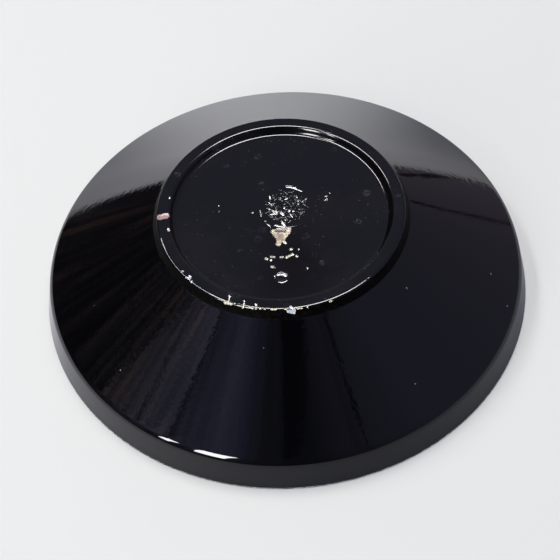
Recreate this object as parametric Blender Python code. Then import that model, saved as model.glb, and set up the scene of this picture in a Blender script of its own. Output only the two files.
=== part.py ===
"""A turned wooden bowl, black lacquered outside and painted inside, lying rim down on its lip.

+Z is up and the origin is the centre of the lip's circle, so the foot ring is at the top. The bowl is one
turned blank with five coats on it. All of them come from one outline: the corners of half a section, each
with the radius that rounds it. A coat's faces are stretches of that outline, moved into the wood.
"""

import math
from collections import namedtuple

import bmesh
import bpy
from mathutils import Matrix, Vector

MM = 0.001

# Driving dimensions, in metres.
RIM_RADIUS = 121.4 * MM
LIP_WIDTH = 4.8 * MM
BAND_TOP_RADIUS = 118.0 * MM
BAND_HEIGHT = 17.45 * MM
FOOT_RADIUS = 59.9 * MM
FOOT_RING_WIDTH = 6.0 * MM
FOOT_RING_SLOPE = math.radians(65)
FOOT_RING_DROP = 4.75 * MM
TOTAL_HEIGHT = 58.6 * MM
RECESS_DEPTH = 3.45 * MM
RECESS_WALL_LEAN = 1.7 * MM
FLOOR_THICKNESS = 6.2 * MM
WALL_THICKNESS = 6.0 * MM

# How far each corner is rounded.
LIP_ROUND = 1.2 * MM
SHOULDER_ROUND = 5.0 * MM
COVE_ROUND = 0.8 * MM
FOOT_EDGE_ROUND = 0.8 * MM
RECESS_ROUND = 1.8 * MM
INNER_SHOULDER_ROUND = 14.0 * MM
INNER_FLOOR_ROUND = 30.0 * MM
LEAST_ROUND = 0.15 * MM

# The coats. A coat lies on what is under it all over; the gap only keeps the meshes apart.
LACQUER = 0.6 * MM
TIN_GROUND = 0.5 * MM
GAP = 0.3 * MM

# Where one coat ends and the next begins.
LIP_LINE_INSIDE = 3.0 * MM
LIP_LINE_OUTSIDE = 1.8 * MM
TIN_GROUND_START = 1.5 * MM
FOOT_COAT_RADIUS = 58.6 * MM

# Steps in each rounded corner, where it shows and where a coat hides it.
SHOWN = {"lip": 2, "shoulder": 4, "cove": 2, "foot_edge": 3, "recess": 3, "inner": 5}
HIDDEN = {"lip": 1, "shoulder": 3, "cove": 1, "foot_edge": 1, "recess": 2, "inner": 3}
STEPS_ROUND = 60
SHARP_ANGLE = math.radians(32)

# Wear: where the lacquer has chipped off the foot ring. Degrees round from +X, the chip's centre radius,
# its length along the ring and its width across it.
RING_CHIPS = (
    (179.3, 56.4 * MM, 3.4 * MM, 4.4 * MM),
    (211.5, 59.6 * MM, 2.6 * MM, 1.6 * MM),
    (242.3, 59.4 * MM, 3.6 * MM, 2.2 * MM),
    (249.5, 59.6 * MM, 1.6 * MM, 1.6 * MM),
    (255.0, 59.6 * MM, 2.0 * MM, 1.6 * MM),
    (271.2, 59.8 * MM, 4.6 * MM, 2.4 * MM),
)
CHIP_DEPTH = 1.1 * MM

# The flake missing from the lacquer in the recess: (x, y) corners round the bare wood.
FLAKE = (
    (-6.4 * MM, -8.4 * MM),
    (-4.6 * MM, -10.6 * MM),
    (-3.4 * MM, -14.6 * MM),
    (-4.4 * MM, -18.2 * MM),
    (-1.6 * MM, -19.6 * MM),
    (0.8 * MM, -17.6 * MM),
    (0.4 * MM, -14.4 * MM),
    (3.4 * MM, -11.4 * MM),
    (3.2 * MM, -7.4 * MM),
    (-1.4 * MM, -9.4 * MM),
)

Corner = namedtuple("Corner", "x z round kind", defaults=(0.0, ""))


def clear_scene():
    for thing in list(bpy.data.objects):
        bpy.data.objects.remove(thing)


def material(name, colour, roughness, coat=0.0):
    finish = bpy.data.materials.new(name)
    finish.use_nodes = True
    shader = finish.node_tree.nodes["Principled BSDF"]
    shader.inputs["Base Color"].default_value = (*colour, 1.0)
    shader.inputs["Roughness"].default_value = roughness
    shader.inputs["Metallic"].default_value = 0.0
    shader.inputs["Coat Weight"].default_value = coat
    return finish


def crossing(point_a, along_a, point_b, along_b):
    """Where two lines in the section plane cross."""
    apart = point_b - point_a
    return point_a + along_a * (apart.cross(along_b) / along_a.cross(along_b))


def bowl_corners():
    """The finished bowl's half section: from the axis, out over the inside, round the lip and back over
    the outside to the axis. The wood lies on the left all the way."""
    recess_height = TOTAL_HEIGHT - RECESS_DEPTH
    floor_height = recess_height - FLOOR_THICKNESS
    lip_inner = Vector((RIM_RADIUS - LIP_WIDTH, 0))
    band = Vector((BAND_TOP_RADIUS - RIM_RADIUS, BAND_HEIGHT)).normalized()
    shoulder = Vector((BAND_TOP_RADIUS, BAND_HEIGHT))
    foot_outer = Vector((FOOT_RADIUS, TOTAL_HEIGHT))
    cove = foot_outer + Vector((FOOT_RING_DROP / math.tan(FOOT_RING_SLOPE), -FOOT_RING_DROP))
    foot_inner = FOOT_RADIUS - FOOT_RING_WIDTH
    flank = (cove - shoulder).normalized()
    flank_inside = shoulder + flank.orthogonal() * WALL_THICKNESS
    inner_shoulder = crossing(flank_inside, flank, lip_inner, band)
    inner_floor = crossing(flank_inside, flank, Vector((0, floor_height)), Vector((1, 0)))
    return [
        Corner(0, floor_height),
        Corner(*inner_floor, INNER_FLOOR_ROUND, "inner"),
        Corner(*inner_shoulder, INNER_SHOULDER_ROUND, "inner"),
        Corner(*lip_inner, LIP_ROUND, "lip"),
        Corner(RIM_RADIUS, 0, LIP_ROUND, "lip"),
        Corner(*shoulder, SHOULDER_ROUND, "shoulder"),
        Corner(*cove, COVE_ROUND, "cove"),
        Corner(*foot_outer, FOOT_EDGE_ROUND, "foot_edge"),
        Corner(foot_inner, TOTAL_HEIGHT, FOOT_EDGE_ROUND, "foot_edge"),
        Corner(foot_inner - RECESS_WALL_LEAN, recess_height, RECESS_ROUND, "recess"),
        Corner(0, recess_height),
    ]


def at_height(before, after, height):
    """The point at a height on the straight between two corners."""
    part = (height - before.z) / (after.z - before.z)
    return Corner(before.x + (after.x - before.x) * part, height)


def moved_in(corners, depths):
    """Moves each straight of an outline to its left, into the wood, by its own depth."""
    points = [Vector((corner.x, corner.z)) for corner in corners]
    runs = [(after - before).normalized() for before, after in zip(points, points[1:])]
    starts = [point + run.orthogonal() * depth for point, run, depth in zip(points, runs, depths)]
    moved = [starts[0]]
    for at in range(1, len(runs)):
        moved.append(crossing(starts[at - 1], runs[at - 1], starts[at], runs[at]))
    moved.append(points[-1] + runs[-1].orthogonal() * depths[-1])
    result = [Corner(*moved[0])]
    for at in range(1, len(runs)):
        hollow = runs[at - 1].cross(runs[at]) < 0
        depth = min(depths[at - 1], depths[at])
        size = corners[at].round + (depth if hollow else -depth)
        result.append(Corner(*moved[at], max(size, LEAST_ROUND), corners[at].kind))
    return result + [Corner(*moved[-1])]


def rounded(corners, steps):
    """The outline's points, with an arc in place of each corner that has a radius."""
    points = [Vector((corner.x, corner.z)) for corner in corners]
    outline = [points[0]]
    for at in range(1, len(points) - 1):
        corner = corners[at]
        back = (points[at - 1] - points[at]).normalized()
        ahead = (points[at + 1] - points[at]).normalized()
        half_angle = back.angle(ahead) / 2
        reach = corner.round / math.tan(half_angle)
        centre = points[at] + (back + ahead).normalized() * (corner.round / math.sin(half_angle))
        spoke = points[at] + back * reach - centre
        turn = spoke.angle_signed(points[at] + ahead * reach - centre)
        count = steps[corner.kind]
        outline += [centre + Matrix.Rotation(-turn * step / count, 2) @ spoke for step in range(count + 1)]
    return outline + [points[-1]]


def face(corners, depth, steps):
    """One face of a coat: a stretch of the outline, moved into the wood by one depth."""
    return rounded(moved_in(corners, [depth] * (len(corners) - 1)), steps)


def finished(name, bm, finish):
    mesh = bpy.data.meshes.new(name)
    bmesh.ops.recalc_face_normals(bm, faces=bm.faces)
    bm.to_mesh(mesh)
    bm.free()
    mesh.shade_smooth()
    mesh.set_sharp_from_angle(angle=SHARP_ANGLE)
    mesh.materials.append(finish)
    thing = bpy.data.objects.new(name, mesh)
    bpy.context.scene.collection.objects.link(thing)
    return thing


def turned(name, outline, finish):
    """Spins an outline about +Z. One that doesn't start and end on the axis is closed first."""
    bm = bmesh.new()
    verts = [bm.verts.new((point.x, 0, point.y)) for point in outline]
    edges = [bm.edges.new(pair) for pair in zip(verts, verts[1:])]
    if outline[0].x > 0:
        edges.append(bm.edges.new((verts[-1], verts[0])))
    bmesh.ops.spin(
        bm, geom=verts + edges, cent=(0, 0, 0), axis=(0, 0, 1), angle=math.tau, steps=STEPS_ROUND, use_merge=True
    )
    bmesh.ops.remove_doubles(bm, verts=bm.verts, dist=0.001 * MM)
    return finished(name, bm, finish)


def wooden_body(finish):
    corners = bowl_corners()
    inside_depth = LACQUER + GAP + TIN_GROUND + GAP
    outside_depth = LACQUER + GAP
    inside_straights = 3
    outside_straights = len(corners) - 1 - inside_straights
    depths = [inside_depth] * inside_straights + [outside_depth] * outside_straights
    return turned("wooden_body", rounded(moved_in(corners, depths), HIDDEN), finish)


def inner_tin_ground(finish):
    floor, floor_edge, shoulder, lip = bowl_corners()[:4]
    corners = [floor, floor_edge, shoulder, at_height(shoulder, lip, TIN_GROUND_START)]
    top = face(corners, LACQUER + GAP, HIDDEN)
    bottom = face(corners, LACQUER + GAP + TIN_GROUND, HIDDEN)
    return turned("inner_tin_ground", top + bottom[::-1], finish)


def inner_painted_coat(finish):
    floor, floor_edge, shoulder, lip = bowl_corners()[:4]
    corners = [floor, floor_edge, shoulder, at_height(shoulder, lip, LIP_LINE_INSIDE + GAP)]
    outline = face(corners, 0, SHOWN) + face(corners, LACQUER, HIDDEN)[::-1]
    return turned("inner_painted_coat", outline, finish)


def lip_line_coat(finish):
    inner_shoulder, inner_lip, rim, shoulder = bowl_corners()[2:6]
    start = at_height(inner_shoulder, inner_lip, LIP_LINE_INSIDE)
    corners = [start, inner_lip, rim, at_height(rim, shoulder, LIP_LINE_OUTSIDE)]
    outline = face(corners, 0, SHOWN) + face(corners, LACQUER, HIDDEN)[::-1]
    return turned("lip_line_coat", outline, finish)


def outer_lacquer_coat(finish, chips):
    rim, shoulder, cove, foot_outer = bowl_corners()[4:8]
    start = at_height(rim, shoulder, LIP_LINE_OUTSIDE + GAP)
    end = Corner(FOOT_COAT_RADIUS + GAP, TOTAL_HEIGHT)
    corners = [start, shoulder, cove, foot_outer, end]
    outline = face(corners, 0, SHOWN) + face(corners, LACQUER, HIDDEN)[::-1]
    cut(turned("outer_lacquer_coat", outline, finish), chips)


def foot_coat(finish, chips):
    corners = [Corner(FOOT_COAT_RADIUS, TOTAL_HEIGHT)] + bowl_corners()[8:]
    outline = face(corners, 0, SHOWN)[::-1] + face(corners, LACQUER, HIDDEN)
    cut(turned("foot_coat", outline, finish), chips)


def cut(target, cutters):
    for cutter in cutters:
        chip = target.modifiers.new(cutter.name, "BOOLEAN")
        chip.operation = "DIFFERENCE"
        chip.solver = "EXACT"
        chip.object = cutter


def hidden_cutter(name, bm):
    cutter = finished(name, bm, None)
    cutter.hide_render = True
    cutter.display_type = "WIRE"
    return cutter


def ring_chip(number, degrees, radius, length, width):
    """A pebble sunk in the ring's face or edge, which takes the lacquer off down to the wood."""
    bm = bmesh.new()
    bmesh.ops.create_icosphere(bm, subdivisions=1, radius=0.5)
    turn = Matrix.Rotation(math.radians(degrees), 4, "Z")
    place = Matrix.Translation((radius, 0, TOTAL_HEIGHT))
    size = Matrix.Diagonal((width, length, CHIP_DEPTH * 2, 1))
    bm.transform(turn @ place @ size)
    return hidden_cutter(f"ring_chip_{number}", bm)


def flake_cutter():
    """A prism through the lacquer on the recess floor."""
    bm = bmesh.new()
    low = TOTAL_HEIGHT - RECESS_DEPTH - LACQUER - GAP / 2
    bottom = bm.faces.new([bm.verts.new((x, y, low)) for x, y in FLAKE])
    grown = bmesh.ops.extrude_face_region(bm, geom=[bottom])["geom"]
    top = [item for item in grown if isinstance(item, bmesh.types.BMVert)]
    bmesh.ops.translate(bm, verts=top, vec=(0, 0, LACQUER + GAP))
    return hidden_cutter("flake", bm)


def build():
    clear_scene()
    linden = material("linden_wood", (0.62, 0.43, 0.25), 0.6)
    tin = material("tin_ground", (0.75, 0.66, 0.45), 0.35)
    painted = material("painted_lacquer", (0.02, 0.012, 0.008), 0.15, 1.0)
    gloss = material("black_gloss_lacquer", (0.006, 0.006, 0.007), 0.08, 1.0)
    satin = material("black_satin_lacquer", (0.012, 0.011, 0.014), 0.3, 0.4)
    wooden_body(linden)
    inner_tin_ground(tin)
    inner_painted_coat(painted)
    lip_line_coat(gloss)
    ring_chips = [ring_chip(number, *chip) for number, chip in enumerate(RING_CHIPS)]
    outer_lacquer_coat(gloss, ring_chips[1:])
    foot_coat(satin, ring_chips + [flake_cutter()])


build()
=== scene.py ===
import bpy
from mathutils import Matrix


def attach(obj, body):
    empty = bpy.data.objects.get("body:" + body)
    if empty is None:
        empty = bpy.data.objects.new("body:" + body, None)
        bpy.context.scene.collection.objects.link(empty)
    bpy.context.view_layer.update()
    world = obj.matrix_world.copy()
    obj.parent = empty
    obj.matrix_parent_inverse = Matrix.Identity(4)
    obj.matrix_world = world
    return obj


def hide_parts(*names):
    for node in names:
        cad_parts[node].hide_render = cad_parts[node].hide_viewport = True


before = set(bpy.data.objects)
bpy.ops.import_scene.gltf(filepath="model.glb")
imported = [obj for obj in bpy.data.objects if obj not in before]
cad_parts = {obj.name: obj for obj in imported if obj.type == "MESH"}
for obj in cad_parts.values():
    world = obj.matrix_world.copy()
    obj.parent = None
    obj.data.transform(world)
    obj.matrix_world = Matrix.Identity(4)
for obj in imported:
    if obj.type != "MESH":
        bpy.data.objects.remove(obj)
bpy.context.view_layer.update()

import math
import random

import bmesh
import bpy
from mathutils import Matrix, Vector, noise

mm = 0.001
print("frame loaded:", ", ".join(sorted(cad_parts)))

camera = {
    "elevation": 52.53,  # degrees above the table
    "roll": -4.34,
    "lookAt": (-2.93, 2.22, 0),
    "distance": 838.68,
    "focal": 1642.39,  # in pixels of the picture
    "pictureSize": 560,
    "film": 36,
}

# Metres, and unit vectors for what is seen one way from the bowl.
room = {
    "ceiling": 1.3,
    "panels": [(-0.14, 0.28, 0.14, 0.40), (-0.60, -0.42, -0.30, 0.72)],  # x and y, from and to, in ceilings
    "panelRadiance": 10,
    "windows": [(-123.7, 29, 0.31, 0.82), (-142.2, 27, 0.11, 0.6)],  # degrees round and up, width, height
    "windowRadiance": 8,
    "windowDistance": 1.5,
    "glint": 2.4,  # how much brighter again a lamp is in the lacquer than on the table
    "glintBehind": 1.01,  # where it hangs, in the lamp's distances
    "fillRadiance": 0.45,  # one wide soft lamp over everything, which the lacquer doesn't mirror
    "fillSize": 3.0,
    "fillHeight": 2.4,
    "backdrop": (0.93, 0.93, 0.94, 1),
    "bars": [  # uprights: from, to, in degrees round at 55 up, the lean of each edge, the light they leave
        (-97.5, -90.1, 0, 3.3, 0.22), (-57.0, -55.3, 0, 0.3, 0.08), (-151.2, -149.6, 0, 0.15, 0.3),
        (-158, -151.5, 1.2, 0, 1.7), (-63, -59, 0, 0, 0.75), (-110, -104, 0, 0, 0.8),
    ],
    "barLevel": 55,
    "barSoft": 0.3,
    "edges": [(42.95, 43.65, 0.02, 0.02, 0.12), (55.1, 56.3, 0.02, 0.02, 0.15)],  # the same, low on the right
    "edgeSoft": 0.1,
    "edgeTop": (13, 15),
    "ragged": (85, 3, 0.65),  # scale, detail and roughness of the noise that frays every border
    "barRagged": 1.6,
    "streaks": (1, 5, 0.68),
    "streakSpread": (0.36, 0.12, 0.22, 0.03),  # noise units per degree round and up
    "streakDepth": 0.85,
    "brown": (0.21, 0.12, 0.075, 1),
    "brownShare": 0.42,
    "haze": (0.55, 0.60, 0.95, 1),
    "hazeWay": (-0.37, -0.465, 0.804),
    "hazeSize": 0.13,
    "hazeShare": 0.4,
    "shelf": (0.55, 0.30, 0.20, 1),  # a warm patch low on the left
    "shelfWay": (-0.62, 0.78, 0.06),
    "shelfSize": (0.01, 0.05),
    "shelfShare": 0.4,
    "backWall": (0.50, 0.50, 0.56, 1),
    "backShare": 0.8,
    "ceilingGlow": (0.27, 0.27, 0.39, 1),  # over the far side, what the foot's flat faces mirror
    "ceilingWay": (0.0, 0.61, 0.79),
    "hood": (0.13, 0.09, 0.09, 1),  # a dark round overhead, seen in the recess
    "hoodWay": (0.01, 0.614, 0.789),
    "hoodSize": (0.004, 0.034),
    "hoodShare": 0.75,
}

# What stands round the table, by the degrees round from +X, as dim colours.
roomColours = [
    (-180, (0.07, 0.065, 0.08)), (-166, (0.14, 0.14, 0.20)), (-144, (0.20, 0.20, 0.33)),
    (-122, (0.17, 0.18, 0.34)), (-108, (0.10, 0.105, 0.15)), (-95, (0.045, 0.05, 0.08)),
    (-83, (0.045, 0.05, 0.08)), (-72, (0.10, 0.10, 0.16)), (-50, (0.16, 0.16, 0.25)),
    (-29, (0.22, 0.22, 0.36)), (18, (0.24, 0.23, 0.34)), (58, (0.24, 0.20, 0.26)),
    (79, (0.12, 0.11, 0.14)), (101, (0.05, 0.045, 0.055)), (115, (0.035, 0.03, 0.04)),
    (155, (0.05, 0.045, 0.055)), (180, (0.07, 0.065, 0.08)),
]

# The table. The camera sees an even white that keeps the shadow; the lacquer mirrors painted light on it: a
# round pool of light with painted dark beyond it, painted shade near the bowl, and a painted glow though the
# table is no lamp.
table = {
    "radius": 9.0,
    "sides": 96,
    "below": 0.02,
    "seen": (0.445, 0.45, 0.43, 1),
    "shine": 0.345,
    # Painted light, seen only in the lacquer: mirrored is the painted pool of light, near the painted shade
    # close to the bowl, unlit the painted dark beyond the pool.
    "mirrored": (0.88, 0.88, 0.89, 1),
    "near": (0.42, 0.43, 0.46, 1),
    "unlit": (0.03, 0.028, 0.035, 1),
    "glow": 0.55,
    "backGlow": 0.58,
    "middle": (0.9, 2.0, 0),
    "reach": 2.45,
    "soft": 0.04,
    "ragged": (110, 4, 0.7),
    "raggedBy": 0.9,
}


class Wire:
    def __init__(self, tree, socket=None):
        self.tree = tree
        self.socket = socket

    def node(self, kind, settings=None, values=None, out=0):
        made = self.tree.nodes.new(kind)
        for name, value in (settings or {}).items():
            if name == "stops":
                ramp = made.color_ramp
                ramp.elements[0].position, ramp.elements[1].position = value[0][0], value[-1][0]
                for place, _ in value[1:-1]:
                    ramp.elements.new(place)
                for element, (_, colour) in zip(ramp.elements, value):
                    element.color = (*colour, 1)
            else:
                setattr(made, name, value)
        for name, value in (values or {}).items():
            self.plug(made, name, value)
        return Wire(self.tree, made.outputs[out])

    def plug(self, made, name, value):
        if isinstance(value, Wire):
            self.tree.links.new(value.socket, made.inputs[name])
        else:
            made.inputs[name].default_value = value

    def also(self, out):
        return Wire(self.tree, self.socket.node.outputs[out])

    def maths(self, operation, *values):
        return self.node("ShaderNodeMath", {"operation": operation}, dict(enumerate(values)))

    def vector(self, operation, *values, out=0):
        return self.node("ShaderNodeVectorMath", {"operation": operation}, dict(enumerate(values)), out)

    def mixed(self, share, first, second):
        values = {0: share, 6: first, 7: second}
        return self.node("ShaderNodeMix", {"data_type": "RGBA"}, values, 2)

    def ramped(self, share, stops):
        return self.node("ShaderNodeValToRGB", {"stops": stops}, {0: share})

    def combined(self, x, y, z):
        return self.node("ShaderNodeCombineXYZ", values={0: x, 1: y, 2: z})

    def axes(self):
        x = self.node("ShaderNodeSeparateXYZ", values={0: self})
        return x, x.also(1), x.also(2)

    def noisy(self, scale, detail, roughness=0.5, distortion=0.0):
        values = {"Vector": self, "Scale": scale, "Detail": detail}
        values.update({"Roughness": roughness, "Distortion": distortion})
        return self.node("ShaderNodeTexNoise", values=values)

    def celled(self, scale, way):
        near = self.node("ShaderNodeTexVoronoi", values={"Vector": self, "Scale": scale})
        return near, self.vector("DOT_PRODUCT", near.also("Color"), way, out="Value")

    def farFrom(self, place):
        return self.vector("DISTANCE", self, place, out="Value")

    def ranged(self, low, high, newLow=0.0, newHigh=1.0):
        values = {"Value": self, "From Min": low, "From Max": high, "To Min": newLow, "To Max": newHigh}
        return self.node("ShaderNodeMapRange", {"interpolation_type": "SMOOTHSTEP"}, values)

    def falling(self, low, high):
        return 1 - self.ranged(low, high)

    def absolute(self):
        return self.maths("ABSOLUTE", self)

    def __add__(self, other):
        return self.maths("ADD", self, other)

    def __radd__(self, other):
        return self.maths("ADD", other, self)

    def __sub__(self, other):
        return self.maths("SUBTRACT", self, other)

    def __rsub__(self, other):
        return self.maths("SUBTRACT", other, self)

    def __mul__(self, other):
        return self.maths("MULTIPLY", self, other)

    def __rmul__(self, other):
        return self.maths("MULTIPLY", other, self)

    def __truediv__(self, other):
        return self.maths("DIVIDE", self, other)


def newMaterial(name, bend=1.5):
    made = bpy.data.materials.new(name)
    made.use_nodes = True
    shader = made.node_tree.nodes["Principled BSDF"]
    shader.inputs["IOR"].default_value = bend
    return made, Wire(made.node_tree).node("ShaderNodeTexCoord", out="Object"), shader


def bumped(shader, height):
    bump = height.node("ShaderNodeBump", values={"Height": height, "Distance": 1.0, "Strength": 1.0})
    height.plug(shader, "Normal", bump)


def linked(name, content):
    made = bpy.data.objects.new(name, content)
    bpy.context.scene.collection.objects.link(made)
    return made


def placeCamera():
    tilt = Matrix.Rotation(math.radians(90 - camera["elevation"]), 4, "X")
    turn = tilt @ Matrix.Rotation(math.radians(camera["roll"]), 4, "Z")
    lens = bpy.data.cameras.new("camera")
    lens.sensor_width = camera["film"]
    lens.lens = camera["focal"] / camera["pictureSize"] * lens.sensor_width
    made = linked("camera", lens)
    place = Vector(camera["lookAt"]) + turn.col[2].to_3d() * camera["distance"]
    made.matrix_world = Matrix.Translation(place * mm) @ turn
    bpy.context.scene.camera = made


def addLamp(name, place, width, height, radiance):
    lamp = bpy.data.lights.new(name, "AREA")
    lamp.shape = "RECTANGLE"
    lamp.size, lamp.size_y = width, height
    lamp.energy = radiance * math.pi * width * height
    made = linked(name, lamp)
    made.visible_camera = False
    made.location = place
    return made


# Each lamp has a brighter one just behind it that only shiny surfaces mirror.
def hangLamp(name, place, width, height, radiance, toward):
    lamp = addLamp(name, place, width, height, radiance)
    glint = addLamp(name + "Glint", place * room["glintBehind"], width, height, radiance * room["glint"])
    glint.visible_diffuse = False
    lamp.rotation_euler = glint.rotation_euler = toward


def hangLamps():
    ceiling = room["ceiling"]
    for number, (left, right, near, far) in enumerate(room["panels"]):
        place = Vector(((left + right) / 2, (near + far) / 2, 1)) * ceiling
        width, depth = (right - left) * ceiling, (far - near) * ceiling
        hangLamp(f"panel{number}", place, width, depth, room["panelRadiance"], (0, 0, 0))
    for number, (around, up, width, height) in enumerate(room["windows"]):
        turn = Matrix.Rotation(math.radians(around), 4, "Z") @ Matrix.Rotation(math.radians(-up), 4, "Y")
        place = turn @ Vector((room["windowDistance"], 0, 0))
        toward = (-place).to_track_quat("-Z", "Y").to_euler()
        hangLamp(f"window{number}", place, width, height, room["windowRadiance"], toward)
    size = room["fillSize"]
    fill = addLamp("fill", (0, 0, room["fillHeight"]), size, size, room["fillRadiance"])
    fill.visible_glossy = False


def shaded(light, around, up, bars, soft, weight):
    for start, end, leanStart, leanEnd, left in bars:
        after = (around - up * leanStart).ranged(start - soft, start)
        before = (around - up * leanEnd).falling(end, end + soft)
        light = light * (1 + (left - 1) * (after * before) * weight)
    return light


# The world is what the lacquer mirrors; the camera itself sees a plain backdrop.
def paintRoom():
    world = bpy.data.worlds.new("room")
    bpy.context.scene.world = world
    world.use_nodes = True
    wire = Wire(world.node_tree)
    way = wire.node("ShaderNodeTexCoord", out="Generated")
    x, y, z = way.axes()
    around = wire.maths("ARCTAN2", y, x) / math.tau * 360
    up = wire.maths("ARCSINE", z) / math.tau * 360
    ragged = way.noisy(*room["ragged"]) - 0.5

    frontLeft = wire.maths("MAXIMUM", y.falling(-0.45, -0.1), x.falling(-0.7, -0.5))
    lean, tilt, rise, drift = room["streakSpread"]
    streaks = wire.combined(around * lean + up * tilt, up * rise, up * drift).noisy(*room["streaks"])
    depth = room["streakDepth"]
    strong = (1 - x.ranged(-0.62, -0.42, 0.0, 0.78)) * x.falling(-0.15, 0.25) * frontLeft
    light = 1 + streaks.ranged(0.3, 0.7, -depth, depth) * strong
    shaken = around + ragged * room["barRagged"]
    light = shaded(light, shaken, up - room["barLevel"], room["bars"], room["barSoft"], 1)
    light = shaded(light, shaken, up, room["edges"], room["edgeSoft"], up.falling(*room["edgeTop"]))
    light = light * (1 + x.falling(-0.9, -0.3) * up.ranged(18, 50, -0.5, 0.7))

    walls = wire.ramped(around / 360 + 0.5, [((place + 180) / 360, colour) for place, colour in roomColours])
    brown = streaks.ranged(0.5, 0.62) * x.falling(-0.62, -0.5) * up.ranged(1, 8)
    walls = wire.mixed(brown * room["brownShare"], walls, room["brown"])
    haze = (way.farFrom(room["hazeWay"]) + ragged * 0.12).falling(0.0, room["hazeSize"])
    walls = wire.mixed(haze * room["hazeShare"], walls, room["haze"])
    shelf = (way.farFrom(room["shelfWay"]) + ragged * 0.08).falling(*room["shelfSize"])
    walls = wire.mixed(shelf * streaks.ranged(0.42, 0.62) * room["shelfShare"], walls, room["shelf"])
    back = y.ranged(0.35, 0.7) * up.ranged(3, 12) * up.falling(38, 46) * x.absolute().falling(0.3, 0.55)
    walls = wire.mixed(back * room["backShare"], walls, room["backWall"])
    mirrored = wire.node("ShaderNodeVectorMath", {"operation": "SCALE"}, {0: walls, "Scale": light})
    overhead = wire.vector("DOT_PRODUCT", way, room["ceilingWay"], out="Value").ranged(0.86, 0.97)
    mirrored = wire.mixed(overhead, mirrored, room["ceilingGlow"])
    hood = (way.farFrom(room["hoodWay"]) + ragged * 0.012).falling(*room["hoodSize"])
    mirrored = wire.mixed(hood * room["hoodShare"], mirrored, room["hood"])
    seen = wire.node("ShaderNodeLightPath", out="Is Camera Ray")
    wire.plug(world.node_tree.nodes["Background"], "Color", wire.mixed(seen, mirrored, room["backdrop"]))


def paleTable():
    finish, here, shader = newMaterial("paleTable")
    way = here.vector("NORMALIZE", here)
    x, y, _ = way.axes()
    near = here.vector("LENGTH", here, out="Value")
    frayed = (way.noisy(*table["ragged"]) - 0.5) * near * table["raggedBy"]
    reach, soft = table["reach"], table["soft"]
    # Painted light for mirrored rays: a round pool of light with painted dark beyond it, painted shade close
    # to the bowl, and painted brighter farther off and to the left.
    paintedPool = (here.farFrom(table["middle"]) + frayed).falling(reach - soft, reach + soft)
    glossy = here.node("ShaderNodeLightPath", out="Is Glossy Ray")
    paintedBrighter = near.ranged(0.16, 0.5) + x.falling(-1.0, 0.3) * 0.75
    mirrored = here.mixed(paintedPool, table["unlit"], here.mixed(paintedBrighter, table["near"], table["mirrored"]))
    here.plug(shader, "Base Color", here.mixed(glossy, table["seen"], mirrored))
    # A painted glow: for mirrored rays the table gives off light, more far off and at the back, though it is
    # no lamp.
    glow = glossy * paintedPool * (near.ranged(0.35, 1.3) * table["glow"] + y.ranged(0.8, 1.0) * table["backGlow"])
    glow = glow + glossy.also("Is Camera Ray") * table["shine"]
    # A mix stops at 1, so it runs on half the glow, towards 2.
    here.plug(shader, "Emission Color", here.mixed(glow * 0.5, (0, 0, 0, 1), (2, 2, 2, 1)))
    shader.inputs["Emission Strength"].default_value = 1.0
    shader.inputs["Roughness"].default_value = 1.0
    shader.inputs["Specular IOR Level"].default_value = 0.0
    return finish


def layTable():
    bm = bmesh.new()
    bmesh.ops.create_circle(bm, cap_ends=True, segments=table["sides"], radius=table["radius"])
    bmesh.ops.translate(bm, verts=bm.verts, vec=(0, 0, -table["below"] * mm))
    mesh = bpy.data.meshes.new("floor")
    bm.to_mesh(mesh)
    bm.free()
    mesh.materials.append(paleTable())
    linked("floor", mesh)


placeCamera()
hangLamps()
paintRoom()
layTable()
bpy.context.scene.view_settings.view_transform = "Standard"
print("camera, lamps and table placed")

# The bowl's half section in mm: radius, height and the rounding of the corner there.
section = {
    "floorInside": (0, 48.95, 0),
    "floorEdgeInside": (58.65, 48.95, 30),
    "shoulderInside": (114.1, 12.83, 14),
    "edgeInside": (115.92, 3.0, 0),  # where the painted coat ends on the wall
    "lipInside": (116.5, 0, 1.2),
    "rim": (121.3, 0, 1.2),
    "shoulder": (117.92, 17.45, 5.0),
    "cove": (62.11, 53.85, 0.8),
    "ringOutside": (59.9, 58.6, 1.2),
    "ringInside": (53.9, 58.6, 1.5),
    "recessEdge": (52.2, 55.15, 1.8),
    "recessMiddle": (0, 55.15, 0),
}

build = {
    "facet": 0.4,  # mm, the longest facet of a rounding
    "fewest": 4,
    "weld": 0.0005,
    "sharp": 40,
}
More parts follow.
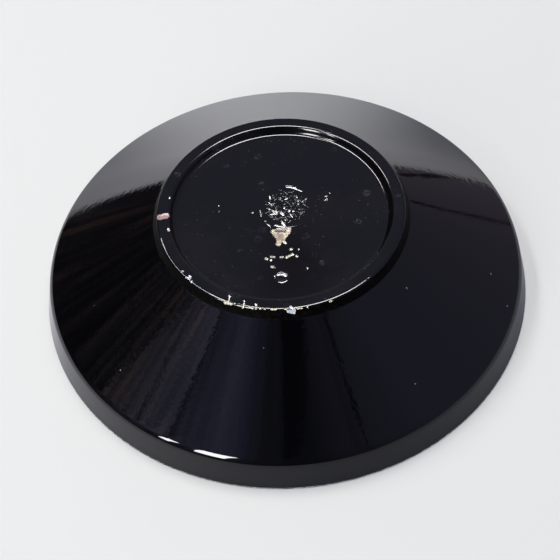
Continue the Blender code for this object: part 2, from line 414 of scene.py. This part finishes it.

# Where the lacquer has come off, and painted highlights in the recess. Ring: radius, degrees, radius,
# degrees, half width, tone.
# Recess: x, y, x, y, half width, tone. Tone 0 is white ground, 0.35 cream, 0.7 bare wood, 0.85 dark, 1 pink.
# In the recess, the white specks near the mark's middle are painted glints in its pits. The white strokes
# from (-3.9, -36.9) to (0, -37.8) are the painted bright far rim of the bubble's crater. Those from (3.6,
# 16.7) to (10.9, 13.2) and from (-10.1, 3.6) to (-5.5, -7.8) are painted light along the mark's ridge.
wearAndGlints = {
    "ring": [
        (58.7, 214.6, 58.7, 214.6, 0.46, 0), (58.0, 219.4, 58.9, 219.8, 0.62, 0),
        (59.6, 218.4, 58.9, 219.0, 0.28, 0), (59.4, 222.0, 59.4, 222.0, 0.43, 0),
        (56.8, 241.9, 59.5, 242.6, 0.31, 0.25), (60.2, 240.9, 60.1, 244.3, 0.37, 0.3),
        (59.6, 245.6, 59.6, 245.6, 0.28, 0.2), (57.2, 249.4, 60.0, 249.9, 0.28, 0.3),
        (60.0, 250.0, 60.1, 249.4, 0.34, 0.3), (59.6, 252.6, 59.9, 254.0, 0.31, 0.3),
        (57.8, 255.1, 59.9, 255.5, 0.34, 0.25), (59.6, 257.2, 59.6, 257.6, 0.34, 0.3),
        (59.6, 259.2, 59.6, 259.5, 0.31, 0.35), (59.6, 262.2, 59.6, 264.4, 0.37, 0.4),
        (59.6, 268.3, 59.6, 269.0, 0.31, 0.35), (59.0, 271.0, 60.2, 272.6, 0.56, 0),
        (60.3, 269.6, 60.6, 272.4, 0.5, 0), (59.8, 273.5, 59.9, 276.0, 0.28, 0.45),
        (59.9, 278.2, 59.9, 278.5, 0.28, 0.2), (60.0, 288.6, 60.0, 289.6, 0.37, 0.4),
        (58.2, 179.3, 55.4, 178.7, 1.5, 1), (55.0, 187.4, 54.7, 188.2, 0.5, 0.45),
        (54.9, 166.7, 54.9, 166.9, 0.37, 0),
    ],
    "recess": [
        (-4.4, -10.6, -3.2, -13.4, 1.2, 0.55), (2.6, -11.0, 0.9, -14.2, 1.1, 0.5),
        (-1.2, -12.6, -1.0, -15.2, 2.1, 0.7), (-1.4, -16.0, -2.4, -18.2, 1.3, 0.55),
        (-2.2, -18.3, -2.6, -18.5, 0.94, 0.3), (0.0, -17.0, 1.1, -18.4, 0.55, 0.3),
        (-3.4, -6.9, 1.3, -8.7, 0.35, 0.2), (1.3, -8.7, 3.9, -9.6, 0.43, 0.6),
        (3.9, -9.6, 3.1, -12.6, 0.39, 0.5), (0.2, -5.6, 1.2, -7.6, 0.55, 0.1),
        (-4.6, 0.1, -2.3, 0.3, 0.43, 0), (-2.0, 0.6, -2.3, 2.2, 0.39, 0),
        (0.2, 0.4, 1.0, -0.6, 0.58, 0), (3.9, 1.2, 3.9, 1.4, 0.55, 0),
        (5.9, 1.0, 5.9, 1.2, 0.43, 0.05), (1.6, 3.8, 1.9, 3.3, 0.31, 0.1),
        (4.4, -0.6, 5.4, -2.6, 0.23, 0.1), (1.7, -4.3, 1.8, -4.1, 0.31, 0.1),
        (-5.0, 11.6, -4.7, 9.9, 0.31, 0.1), (-5.4, 7.4, -5.3, 7.3, 0.39, 0.1),
        (-4.3, 6.3, -4.2, 6.1, 0.31, 0.1), (-5.7, 3.2, -5.4, 3.6, 0.31, 0.1),
        (-3.7, 2.2, -3.4, 1.7, 0.47, 0.45), (8.7, 7.3, 8.8, 7.3, 0.39, 0.1),
        (10.7, 6.8, 10.8, 6.8, 0.39, 0), (12.4, 8.0, 12.5, 8.0, 0.31, 0.1),
        (8.6, 5.4, 8.7, 5.4, 0.35, 0.1), (2.4, 9.0, 3.3, 9.4, 0.31, 0.1),
        (0.0, 9.4, 0.4, 9.6, 0.23, 0.2), (8.1, 9.7, 8.3, 9.7, 0.27, 0.3),
        (-8.9, -26.9, -8.3, -27.1, 0.47, 0.3), (-6.5, -26.1, -4.6, -26.3, 0.31, 0.5),
        (-6.8, -28.0, -6.2, -28.0, 0.35, 0.3), (-2.0, -26.8, -0.6, -26.7, 0.31, 0.4),
        (0.9, -27.0, 2.6, -26.2, 0.39, 0.35), (3.2, -25.9, 4.4, -25.5, 0.39, 0.3),
        (5.6, -26.6, 6.2, -27.0, 0.39, 0.35), (3.0, -22.4, 3.9, -22.4, 0.39, 0.35),
        (6.8, -22.8, 7.3, -22.8, 0.27, 0.45), (-6.6, -31.9, -4.6, -32.6, 0.31, 0.45),
        (-13.8, 2.0, -13.7, 2.0, 0.31, 0), (-30.2, 4.6, -30.1, 4.6, 0.39, 0.15),
        (-30.3, 7.8, -29.6, 8.4, 0.27, 0.3), (-39.7, -3.2, -39.6, -3.2, 0.23, 0.2),
        (-35.1, -9.6, -35.0, -9.6, 0.27, 0.2), (10.4, -34.6, 10.5, -34.6, 0.35, 0.3),
        (-5.3, -37.8, -5.2, -37.8, 0.27, 0.2), (-8.2, -43.1, -8.2, -43.2, 0.27, 0.3),
        (-2.8, -10.0, 1.2, -10.5, 1.1, 0.85), (-3.9, -36.9, -2.0, -36.6, 0.45, 0),
        (-2.0, -36.6, 0.0, -37.8, 0.45, 0), (3.6, 16.7, 6.1, 16.3, 0.35, 0),
        (6.1, 16.3, 8.4, 15.0, 0.35, 0), (8.4, 15.0, 10.9, 13.2, 0.22, 0.1),
        (-10.1, 3.6, -9.5, -0.6, 0.14, 0.2), (-8.4, -3.3, -7.5, -5.0, 0.18, 0.2),
        (-7.5, -5.0, -5.5, -7.8, 0.18, 0.15), (21.6, 6.5, 22.9, 7.6, 0.23, 0.35),
        (24.3, 10.5, 24.4, 10.9, 0.27, 0.3),
    ],
    # The wear and the painted glints alike lie above this height.
    "above": 54,  # height over which there is wear
    "reach": 2.5,  # past a stroke's end, in half widths
    "depth": 0.28,
    "steep": 3,
    "ragged": 0.45,
    "cells": 1.1,  # mm, the size of the raggedness
    "craters": [(-2.0, -38.3, 2.5, 0.42), (-30.0, 6.2, 1.4, 0.2), (22.6, 8.0, 1.4, 0.2)],
    "craterRim": 0.35,  # width and height of the rim round a crater, in its radii and depths
}


def onRing(radius, degrees):
    turn = math.radians(degrees)
    return Vector((radius * math.cos(turn), radius * math.sin(turn)))


def wornAndGlintStrokes():
    strokes = []
    for startRadius, start, endRadius, end, width, tone in wearAndGlints["ring"]:
        strokes.append((onRing(startRadius, start), onRing(endRadius, end), width, tone))
    for startX, startY, endX, endY, width, tone in wearAndGlints["recess"]:
        strokes.append((Vector((startX, startY)), Vector((endX, endY)), width, tone))
    return strokes


# How far inside the nearest stroke a spot is: 1 on its line, 0 at its edge.
def wearAndGlintAt(spot, strokes):
    best, itsTone = -1.0, 0.0
    for start, end, width, tone in strokes:
        along = end - start
        if (spot - start).length > along.length + width * wearAndGlints["reach"]:
            continue
        share = min(max((spot - start).dot(along) / along.length_squared, 0), 1) if along.length else 0
        inside = 1 - (spot - start - along * share).length / width
        if inside > best:
            best, itsTone = inside, tone
    return best, itsTone


def cratered(spot):
    sunk, rim = 0, wearAndGlints["craterRim"]
    for x, y, radius, depth in wearAndGlints["craters"]:
        away = (spot - Vector((x, y))).length / radius
        if away < 1:
            sunk += depth * (1 - away * away)
        elif away < 1 + rim:
            sunk -= depth * rim * math.sin((away - 1) / rim * math.pi)
    return sunk


def wearAndGlintsInto(bm, strokes):
    bare = bm.verts.layers.float.new("bare")
    tone = bm.verts.layers.float.new("tone")
    bm.normal_update()
    moves = []
    for vert in bm.verts:
        vert[bare] = -1
        if vert.co.z < wearAndGlints["above"] * mm:
            continue
        spot = vert.co.xy / mm
        inside, vert[tone] = wearAndGlintAt(spot, strokes)
        if inside > -1:
            inside += noise.noise(vert.co / mm / wearAndGlints["cells"]) * wearAndGlints["ragged"]
        vert[bare] = max(inside, -1)
        sunk = min(max(inside * wearAndGlints["steep"], 0), 1) * wearAndGlints["depth"] + cratered(spot)
        if sunk:
            moves.append((vert, vert.normal * sunk * mm))
    for vert, move in moves:
        vert.co -= move


# Smaller faces over a height and before a y, and round a middle if one is given.
def refine(bm, above, before, cuts, middle=(0, 0), reach=200):
    def isNear(spot):
        return spot.z > above and spot.y < before and (spot.xy - Vector(middle)).length < reach

    edges = [edge for edge in bm.edges if all(isNear(vert.co / mm) for vert in edge.verts)]
    bmesh.ops.subdivide_edges(bm, edges=edges, cuts=cuts, use_grid_fill=True)


def joined(bm, verts):
    for pair in zip(verts, verts[1:]):
        bm.edges.new(pair)


# Spins a half section: the seen side through rounded corners, the hidden side under it straight.
def turned(corners, under, row, steps):
    bm = bmesh.new()
    spots = [Vector((radius, 0, height)) * mm for radius, height, _ in corners]
    verts = [bm.verts.new(spot) for spot in spots]
    joined(bm, verts)
    for at in range(1, len(verts) - 1):
        turn = (spots[at] - spots[at - 1]).angle(spots[at + 1] - spots[at])
        size = corners[at][2]
        bmesh.ops.bevel(
            bm, geom=[verts[at]], offset=size * mm * math.tan(turn / 2), offset_type="OFFSET",
            segments=max(build["fewest"], round(size * turn / build["facet"])),
            profile=0.5, affect="VERTICES", material=-1,
        )
    for edge in list(bm.edges):
        cuts = int(edge.calc_length() / (row * mm))
        if cuts:
            bmesh.ops.subdivide_edges(bm, edges=[edge], cuts=cuts)
    ends = [vert for vert in bm.verts if len(vert.link_edges) == 1]
    ends.sort(key=lambda vert: (vert.co - spots[0]).length)
    chain = [bm.verts.new((radius * mm, 0, height * mm)) for radius, height in under]
    joined(bm, chain)
    for pair in ((ends[-1], chain[0]), (chain[-1], ends[0])):
        if pair[0].co.x > 0:
            bm.edges.new(pair)
    bmesh.ops.spin(
        bm, geom=bm.verts[:] + bm.edges[:], cent=(0, 0, 0), axis=(0, 0, 1),
        angle=math.tau, steps=steps, use_merge=True,
    )
    bmesh.ops.remove_doubles(bm, verts=bm.verts, dist=build["weld"] * mm)
    bmesh.ops.recalc_face_normals(bm, faces=bm.faces)
    return bm


def finishPiece(name, bm, finishes, node):
    mesh = bpy.data.meshes.new(name)
    bm.to_mesh(mesh)
    bm.free()
    mesh.shade_smooth()
    mesh.set_sharp_from_angle(angle=math.radians(build["sharp"]))
    for finish in finishes:
        mesh.materials.append(finish)
    piece = linked(name, mesh)
    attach(piece, "root")
    if node:
        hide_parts(node)
    print(f"{name}: {len(mesh.polygons)} faces")


def between(before, after, height):
    share = (height - before[1]) / (after[1] - before[1])
    return (before[0] + (after[0] - before[0]) * share, height, 0)


# Noise is given by its scale, detail, roughness and distortion. Heights of bumps are in mm.
lacquer = {
    "black": (0.0012, 0.0012, 0.0016, 1),
    "bend": 1.47,  # how strongly the lacquer mirrors
    "gloss": 0.025,
    "smeared": 0.07,
    "smears": (17, 5, 0.65, 0.6),
    "lines": (1, 4, 0.7),
    "linesPerMetre": 1100,
    "lineDrift": 1.6,
    "lineHeight": 0.0024,
    "lineRough": 0.02,
    "waves": (34, 2),
    "waveHeight": 0.012,
    "ripples": (420, 2),
    "rippleHeight": 0.03,
    "rippledFrom": (17, 21),  # heights between which the ripples set in
    "dust": (0.35, 0.36, 0.40, 1),
    "dustCells": 160,
    "dustHeight": 0.05,
    "grit": (1600, 3),
    "tones": [
        (0.0, (0.80, 0.84, 0.88)), (0.35, (0.83, 0.76, 0.55)), (0.7, (0.33, 0.24, 0.17)),
        (0.85, (0.05, 0.04, 0.035)), (1.0, (0.42, 0.24, 0.23)),
    ],
    "stain": (0.16, 0.10, 0.07, 1),
    # A painted highlight for the flake's broken edge.
    "flakeRimHighlight": (0.62, 0.52, 0.38, 1),
    "dullBend": 1.09,  # for the ring's wall, where the brush left the coat thin
    "dullBrown": (0.006, 0.004, 0.0035, 1),
    "dullGrain": (700, 3),
    "dullHeight": 0.01,
}


# Where the lacquer is off, and the colour of what shows there. This includes painted highlights: the white
# glint strokes, and a paler rim painted on the flake's broken edge where it catches the light.
def chippedAndGlints(here):
    bare = here.node("ShaderNodeAttribute", {"attribute_name": "bare"}, out="Fac")
    tone = here.node("ShaderNodeAttribute", {"attribute_name": "tone"}, out="Fac")
    grit = here.noisy(*lacquer["grit"])
    mask = (bare + grit * 0.4 - 0.2).ranged(-0.04, 0.06)
    ground = here.ramped(tone + grit * 0.24 - 0.12, lacquer["tones"])
    stained = here.mixed(grit.ranged(0.52, 0.72) * tone, ground, lacquer["stain"])
    # Painted highlight: the flake's broken edge is painted paler, where the edge of the lacquer catches the
    # light.
    rim = bare.falling(0.08, 0.4) * tone.ranged(0.5, 0.65) * tone.falling(0.9, 1.0)
    return mask, here.mixed(rim * 0.7, stained, lacquer["flakeRimHighlight"])


def turningLines(here):
    x, y, _ = here.axes()
    radius = here.maths("SQRT", x * x + y * y) + 0.0001
    drift = lacquer["lineDrift"]
    place = here.combined(radius * lacquer["linesPerMetre"], x / radius * drift, y / radius * drift)
    return place.noisy(*lacquer["lines"])


def glossLacquer():
    finish, here, shader = newMaterial("blackGlossLacquer", lacquer["bend"])
    lines = turningLines(here)
    near, lot = here.celled(lacquer["dustCells"], (1, 0, 0))
    dust = near.falling(0.03, 0.09) * lot.ranged(0.93, 0.95)
    mask, ground = chippedAndGlints(here)
    dusty = here.mixed(dust * 0.6, lacquer["black"], lacquer["dust"])
    here.plug(shader, "Base Color", here.mixed(mask, dusty, ground))
    smears = here.noisy(*lacquer["smears"]).ranged(0.5, 0.75, lacquer["gloss"], lacquer["smeared"])
    here.plug(shader, "Roughness", smears + lines * lacquer["lineRough"] + mask * 0.6 + dust * 0.4)
    low, high = lacquer["rippledFrom"]
    rippled = here.noisy(*lacquer["ripples"]) * here.axes()[2].ranged(low * mm, high * mm)
    height = lines * lacquer["lineHeight"] + here.noisy(*lacquer["waves"]) * lacquer["waveHeight"]
    height = height + dust * lacquer["dustHeight"] + rippled * lacquer["rippleHeight"]
    bumped(shader, height * mm)
    return finish


def dullLacquer():
    finish, here, shader = newMaterial("blackDullLacquer", lacquer["dullBend"])
    grain = here.noisy(*lacquer["dullGrain"])
    mask, ground = chippedAndGlints(here)
    brown = here.mixed(grain.ranged(0.45, 0.7), lacquer["black"], lacquer["dullBrown"])
    here.plug(shader, "Base Color", here.mixed(mask, brown, ground))
    here.plug(shader, "Roughness", grain.ranged(0.3, 0.7, 0.4, 0.6))
    bumped(shader, grain * lacquer["dullHeight"] * mm)
    return finish


foot = {
    "under": [(0, 54.55), (52.6, 54.55), (54.4, 58.0), (58.6, 58.0)],
    "row": 0.85,
    "steps": 420,
    "finer": [(57, 26, 1), (55, 20, 1, (0, -13), 31)],
    "black": (0.001, 0.001, 0.0016, 1),
    "brown": (0.003, 0.002, 0.002, 1),
    "grey": (0.16, 0.16, 0.19, 1),  # of flecks and small loops left by drops
    "greyShare": 0.2,
    "satin": 0.065,
    "dull": 0.12,
    "patches": (45, 4),
    "grain": (900, 2),
    "grainHeight": 0.004,
    "fleckCells": 520,
    "loopCells": 170,
    "loopBend": 0.005,
    "loopSize": 0.24,
    "mark": (2.7, 4.8, 55.15),
    "markRadius": 13.0,
    "markWidth": 0.8,
    "markHeight": 0.08,
    "pits": (620, 2, 0.55),
    "pitted": (9.0, 12.5),  # from the mark's middle, where the pits end
    "pitHeight": 0.07,
}


def satinLacquer():
    finish, here, shader = newMaterial("blackSatinLacquer", lacquer["bend"])
    lines = turningLines(here)
    away = here.farFrom(Vector(foot["mark"]) * mm) / mm
    ridge = (away - foot["markRadius"]).absolute().falling(0, foot["markWidth"])
    pitted = here.noisy(*foot["pits"]).ranged(0.50, 0.66) * away.falling(*foot["pitted"])
    patches = here.noisy(*foot["patches"])
    grain = here.noisy(*foot["grain"])
    mask, ground = chippedAndGlints(here)
    tinted = here.mixed(patches.ranged(0.45, 0.75), foot["black"], foot["brown"])
    near, lot = here.celled(foot["fleckCells"], (1, 0, 0))
    flecks = near.falling(0.1, 0.3) * lot.ranged(0.72, 0.95) * patches.ranged(0.4, 0.6)
    tinted = here.mixed(flecks * foot["greyShare"], tinted, foot["grey"])
    bend = foot["loopBend"]
    bent = here.vector("ADD", here, here.vector("MULTIPLY", grain.also("Color"), (bend, bend, 0)))
    near, lot = bent.celled(foot["loopCells"], (0, 1, 0))
    loops = (near - foot["loopSize"]).absolute().falling(0.02, 0.08) * lot.ranged(0.8, 0.95)
    tinted = here.mixed(loops * patches.ranged(0.42, 0.62) * foot["greyShare"], tinted, foot["grey"])
    here.plug(shader, "Base Color", here.mixed(mask, tinted, ground))
    rough = patches.ranged(0.3, 0.7, foot["satin"], foot["dull"]) - pitted * 0.12 - ridge * 0.12
    here.plug(shader, "Roughness", rough + mask * 0.25)
    height = ridge * foot["markHeight"] + pitted * foot["pitHeight"]
    height = height + grain * foot["grainHeight"] + lines * lacquer["lineHeight"]
    bumped(shader, height * mm)
    return finish


coats = {
    "meetOnRing": 58.6,  # radius where gloss lacquer gives way to satin
    "meetOutside": 1.8,  # height on the band where the lip line ends
    "seam": 0.02,
}
outer = {
    "under": [(58.62, 58.0), (59.5, 58.0), (61.7, 53.4), (117.3, 16.9), (120.2, 1.82)],
    "row": 0.9,
    "steps": 420,
    "wall": (53.6, 58.1),  # heights of the ring's dull wall
    "wallRadius": 59.9,
    "finer": (56.9, 26, 2),
}
strokes = wornAndGlintStrokes()
gloss = glossLacquer()

# Band, shoulder, flank and cove, up to the ring's edge.
start = between(section["rim"], section["shoulder"], coats["meetOutside"] + coats["seam"])
end = (coats["meetOnRing"] + coats["seam"], section["ringOutside"][1], 0)
corners = [start, section["shoulder"], section["cove"], section["ringOutside"], end]
bm = turned(corners, outer["under"], outer["row"], outer["steps"])
refine(bm, *outer["finer"])
wearAndGlintsInto(bm, strokes)
for face in bm.faces:
    middle = face.calc_center_median() / mm
    if outer["wall"][0] < middle.z < outer["wall"][1] and middle.xy.length > outer["wallRadius"]:
        face.material_index = 1
finishPiece("outer_lacquer", bm, [gloss, dullLacquer()], "outer_lacquer_coat")

# The ring's face, its inner edge, the recess wall and floor.
start = (coats["meetOnRing"], section["ringInside"][1], 0)
corners = [start, section["ringInside"], section["recessEdge"], section["recessMiddle"]]
bm = turned(corners, foot["under"], foot["row"], foot["steps"])
for part in foot["finer"]:
    refine(bm, *part)
wearAndGlintsInto(bm, strokes)
finishPiece("foot_lacquer", bm, [satinLacquer()], "foot_coat")

lip = {
    "under": [(120.3, 1.8), (120.6, 0.6), (117.1, 0.6), (116.5, 3.0)],
    "row": 0.7,
    "steps": 360,
}

# The line brushed round the lip last.
end = between(section["rim"], section["shoulder"], coats["meetOutside"])
corners = [section["edgeInside"], section["lipInside"], section["rim"], end]
bm = turned(corners, lip["under"], lip["row"], lip["steps"])
finishPiece("lip_line", bm, [gloss], "lip_line_coat")

# The painted hollow. A place on it is the way out from the middle along the surface, and degrees round.
paint = {
    "under": [(116.4, 3.2), (114.6, 13.2), (59.0, 49.45), (0, 49.45)],
    "row": 2.0,
    "steps": 300,
    "black": (0.010, 0.007, 0.006, 1),
    "brown": (0.022, 0.012, 0.007, 1),
    "clouds": (30, 4),
    "gold": ((0.88, 0.60, 0.20, 1), (0.62, 0.36, 0.09, 1)),
    "red": ((0.60, 0.045, 0.015, 1), (0.34, 0.02, 0.01, 1)),
    "goldMetal": 0.7,
    "goldRough": 0.28,
    "redRough": 0.35,
    "brush": (260, 4, 0.6),
    "brushHeight": 0.03,
    "lift": 0.05,  # of a stroke's edges, and of its middle
    "crown": 0.09,
    "raise": 0.012,
    "thick": 0.2,  # of a stroke, sunk in the ground
    "fine": 0.06,
    "dome": 0.15,
    "dotSides": 18,
    "facetsPerCorner": 16,
    "lines": [(39.0, 0.5), (41.4, 0.25), (121.5, 0.3), (129.0, 0.6)],  # gold rings: how far out, half width
    "vine": (81.0, 13.0, 6),  # middle, swing, waves
    "vineWidth": 0.55,
    "leaves": [(-46, 20), (0, 26), (46, 20)],  # heading, length
    "leafWidth": 3.0,
    "tongues": [(-22, 21), (22, 21)],
    "tongueWidth": 2.1,
    "curls": [(76, 19), (108, 15), (136, 11)],
    "curlWidth": 0.75,
    "berries": [(-4.2, 0), (4.2, 0), (0, 4.5)],  # mm aside, mm farther on
    "berryReach": 29,
    "berry": (2.5, 0.1),  # size, lift
    "shine": (0.7, 0.6, 0.3),  # nearer the middle by, size, lift
    "twigs": 36,
    "twigWidth": 0.65,
    "border": (122.8, 60, 38, 5.6, 34, 0.9),  # how far out, strokes, heading, length, bend, half width
    "rosette": 8,
    "petal": (7, 23, 26, 3.1),  # from, length, bend, half width
    "redPetal": (8, 16, -22, 2.1),
    "seeds": (32, 9, 1.5, 0.08),  # how far out, degrees aside, size, lift
    "heart": (4.6, 0.1),
    "heartShine": (1.4, 0.3),
}
random.seed(12)


def roundedOutline(corners):
    count = paint["facetsPerCorner"]
    points = [Vector(corners[0][:2])]
    for before, (radius, height, size), after in zip(corners, corners[1:], corners[2:]):
        corner = Vector((radius, height))
        inward = (Vector(before[:2]) - corner).normalized()
        onward = (Vector(after[:2]) - corner).normalized()
        half = inward.angle(onward) / 2
        middle = corner + (inward + onward).normalized() * size / math.sin(half)
        start, end = (corner + way * size / math.tan(half) - middle for way in (inward, onward))
        points += [middle + start.lerp(end, step / count).normalized() * size for step in range(count + 1)]
    return points + [Vector(corners[-1][:2])]


hollow = [section[name] for name in ("floorInside", "floorEdgeInside", "shoulderInside", "edgeInside")]
outline = roundedOutline(hollow)


def alongHollow(distance):
    for start, end in zip(outline, outline[1:]):
        length = (end - start).length
        if distance <= length or end is outline[-1]:
            way = (end - start) / length
            return start + way * distance, way
        distance -= length


def radiusAt(distance):
    return max(alongHollow(distance)[0].x, 1)


def onHollow(distance, degrees, lift):
    spot, way = alongHollow(distance)
    spot = spot + Vector((way.y, -way.x)) * lift
    turn = math.radians(degrees)
    return Vector((spot.x * math.cos(turn), spot.x * math.sin(turn), spot.y)) * mm


# The path of a brush that sets off at a heading and bends as it goes.
def swept(distance, degrees, heading, length, bend, steps=9):
    path = []
    for _ in range(steps + 1):
        path.append((distance, degrees))
        turn = math.radians(heading)
        distance += math.cos(turn) * length / steps
        degrees += math.degrees(math.sin(turn) * length / steps / radiusAt(distance))
        heading += bend / steps
    return path


def brushed(bm, path, width, form="leaf"):
    raised = paint["raise"] * (len(bm.verts) % 7)  # so strokes that cross don't share a height
    rows = []
    for at, (distance, degrees) in enumerate(path):
        share = at / (len(path) - 1)
        before, after = path[max(at - 1, 0)], path[min(at + 1, len(path) - 1)]
        radius = radiusAt(distance)
        way = Vector((after[0] - before[0], math.radians(after[1] - before[1]) * radius)).normalized()
        leaf = width * math.sin(math.pi * share ** 0.8) + paint["fine"]
        half = {"leaf": leaf, "curl": width * (1.05 - share), "line": width}[form]
        row = []
        for side, lift in ((-half, paint["lift"]), (0, paint["crown"]), (half, paint["lift"])):
            aside = degrees + math.degrees(way.x * side / radius)
            row.append(bm.verts.new(onHollow(distance - way.y * side, aside, lift + raised)))
        rows.append(row)
    for one, other in zip(rows, rows[1:]):
        for at in (0, 1):
            bm.faces.new((one[at], one[at + 1], other[at + 1], other[at]))


def dotted(bm, distance, degrees, size, lift):
    made = bmesh.ops.create_circle(
        bm, cap_ends=True, cap_tris=True, segments=paint["dotSides"], radius=size,
    )
    radius = radiusAt(distance)
    for vert in made["verts"]:
        high = lift + paint["dome"] * (1 - vert.co.length / size)
        if distance:
            vert.co = onHollow(distance + vert.co.x, degrees + math.degrees(vert.co.y / radius), high)
        else:
            vert.co = Vector((vert.co.x, vert.co.y, section["floorInside"][1] - high)) * mm


def onVine(degrees):
    middle, swing, waves = paint["vine"]
    return middle + swing * math.sin(math.radians(waves * degrees))


def paintSpray(gold, red, turn, outer):
    middle, swing, _ = paint["vine"]
    distance = middle + (swing if outer else -swing)
    base = 180 if outer else 0
    for aside, length in paint["leaves"]:
        length, bend = length + random.uniform(-1, 1), -aside * 0.9 + random.uniform(-8, 8)
        brushed(gold, swept(distance, turn, base + aside, length, bend), paint["leafWidth"])
    for aside, length in paint["tongues"]:
        brushed(red, swept(distance, turn, base + aside, length, -aside * 0.5), paint["tongueWidth"])
    for side in (-1, 1):
        for aside, length in paint["curls"]:
            bend = -side * random.uniform(120, 170)
            path = swept(distance, turn, base + side * aside, length, bend, 14)
            brushed(gold, path, paint["curlWidth"], "curl")
    way = -1 if outer else 1
    for aside, farther in paint["berries"]:
        away = distance + way * (paint["berryReach"] + farther)
        berry, shine = paint["berry"], paint["shine"]
        dotted(red, away, turn + aside * 60 / away, *berry)
        dotted(gold, away - shine[0], turn + aside * 60 / away, *shine[1:])


def paintVine(gold, red):
    waves = paint["vine"][2]
    brushed(gold, [(onVine(turn), turn) for turn in range(0, 361, 2)], paint["vineWidth"], "line")
    for number in range(waves * 2):
        paintSpray(gold, red, (number + 0.5) * 180 / waves, number % 2 == 0)
    for number in range(paint["twigs"]):
        turn = number * 10 + 4
        side = 1 if number % 2 else -1
        path = swept(onVine(turn), turn, 60 * side + 90 - 90 * side, random.uniform(8, 11), 90 * side)
        brushed(gold, path, paint["twigWidth"], "curl")


def paintMiddle(gold, red):
    count = paint["rosette"]
    out, aside, size, lift = paint["seeds"]
    for number in range(count):
        turn = number * 360 / count
        start, length, bend, half = paint["petal"]
        brushed(gold, swept(start, turn, 0, length, bend), half)
        turn += 180 / count
        start, length, bend, half = paint["redPetal"]
        brushed(red, swept(start, turn, 0, length, bend), half)
        for side in (-1, 1):
            dotted(red, out, turn + side * aside, size, lift)
    dotted(red, 0, 0, *paint["heart"])
    dotted(gold, 0, 0, *paint["heartShine"])


def paintRings(gold, red):
    for distance, half in paint["lines"]:
        brushed(gold, [(distance, turn) for turn in range(0, 361, 2)], half, "line")
    distance, count, heading, length, bend, half = paint["border"]
    for number in range(count):
        brushed(red, swept(distance, number * 360 / count, heading, length, bend, 6), half)


def thickened(bm):
    bm.normal_update()
    for face in bm.faces:
        if face.normal.dot(face.calc_center_median()) > 0:  # every stroke faces the hollow
            face.normal_flip()
    bmesh.ops.solidify(bm, geom=bm.faces[:], thickness=paint["thick"] * mm)
    bmesh.ops.recalc_face_normals(bm, faces=bm.faces)
    return bm


def paintedFinish(name, colours, metallic, roughness):
    finish, here, shader = newMaterial(name)
    brush = here.noisy(*paint["brush"])
    here.plug(shader, "Base Color", here.mixed(brush.ranged(0.38, 0.66), *colours))
    here.plug(shader, "Roughness", brush.ranged(0.3, 0.7, roughness, roughness + 0.15))
    bumped(shader, brush * paint["brushHeight"] * mm)
    shader.inputs["Metallic"].default_value = metallic
    shader.inputs["Coat Weight"].default_value = 1.0
    shader.inputs["Coat Roughness"].default_value = 0.05
    return finish


def paintedGround():
    finish, here, shader = newMaterial("paintedGround", lacquer["bend"])
    clouds = here.noisy(*paint["clouds"])
    here.plug(shader, "Base Color", here.mixed(clouds.ranged(0.4, 0.7), paint["black"], paint["brown"]))
    here.plug(shader, "Roughness", clouds.ranged(0.3, 0.7, 0.05, 0.10))
    height = turningLines(here) * lacquer["lineHeight"] + clouds * lacquer["waveHeight"]
    bumped(shader, height * mm)
    return finish


bm = turned(hollow, paint["under"], paint["row"], paint["steps"])
finishPiece("painted_hollow", bm, [paintedGround()], "inner_painted_coat")
gold, red = bmesh.new(), bmesh.new()
paintVine(gold, red)
paintMiddle(gold, red)
paintRings(gold, red)
finish = paintedFinish("goldOrnament", paint["gold"], paint["goldMetal"], paint["goldRough"])
finishPiece("gold_ornament", thickened(gold), [finish], None)
finish = paintedFinish("redOrnament", paint["red"], 0.0, paint["redRough"])
finishPiece("red_ornament", thickened(red), [finish], None)

# The wood and the tin ground keep their CAD shapes.
wood = {
    "light": (0.66, 0.47, 0.29, 1),
    "dark": (0.47, 0.30, 0.16, 1),
    "along": (16, 130, 130),  # the grain runs along X
    "grain": (1, 6, 0.65, 0.7),
    "grainHeight": 0.06,
}
tin = {
    "pale": (0.74, 0.66, 0.47, 1),
    "dark": (0.52, 0.43, 0.28, 1),
    "rubbed": (90, 5),
    "powder": (2200, 1),
    "powderHeight": 0.01,
}


def lindenWood():
    finish, here, shader = newMaterial("lindenWood")
    along = here.vector("MULTIPLY", here, wood["along"])
    grain = along.noisy(*wood["grain"])
    here.plug(shader, "Base Color", here.mixed(grain.ranged(0.35, 0.68), wood["light"], wood["dark"]))
    here.plug(shader, "Roughness", grain.ranged(0.3, 0.7, 0.55, 0.7))
    bumped(shader, grain * wood["grainHeight"] * mm)
    return finish


def tinGround():
    finish, here, shader = newMaterial("tinGround")
    rubbed = here.noisy(*tin["rubbed"])
    powder = here.noisy(*tin["powder"])
    here.plug(shader, "Base Color", here.mixed(rubbed.ranged(0.35, 0.7), tin["pale"], tin["dark"]))
    here.plug(shader, "Metallic", powder.ranged(0.4, 0.6, 0.3, 0.8))
    here.plug(shader, "Roughness", rubbed.ranged(0.3, 0.7, 0.38, 0.55))
    bumped(shader, powder * tin["powderHeight"] * mm)
    return finish


for node, finish in (("wooden_body", lindenWood()), ("inner_tin_ground", tinGround())):
    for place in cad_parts[node].material_slots:
        place.material = finish
print("wood and tin ground given their finishes")
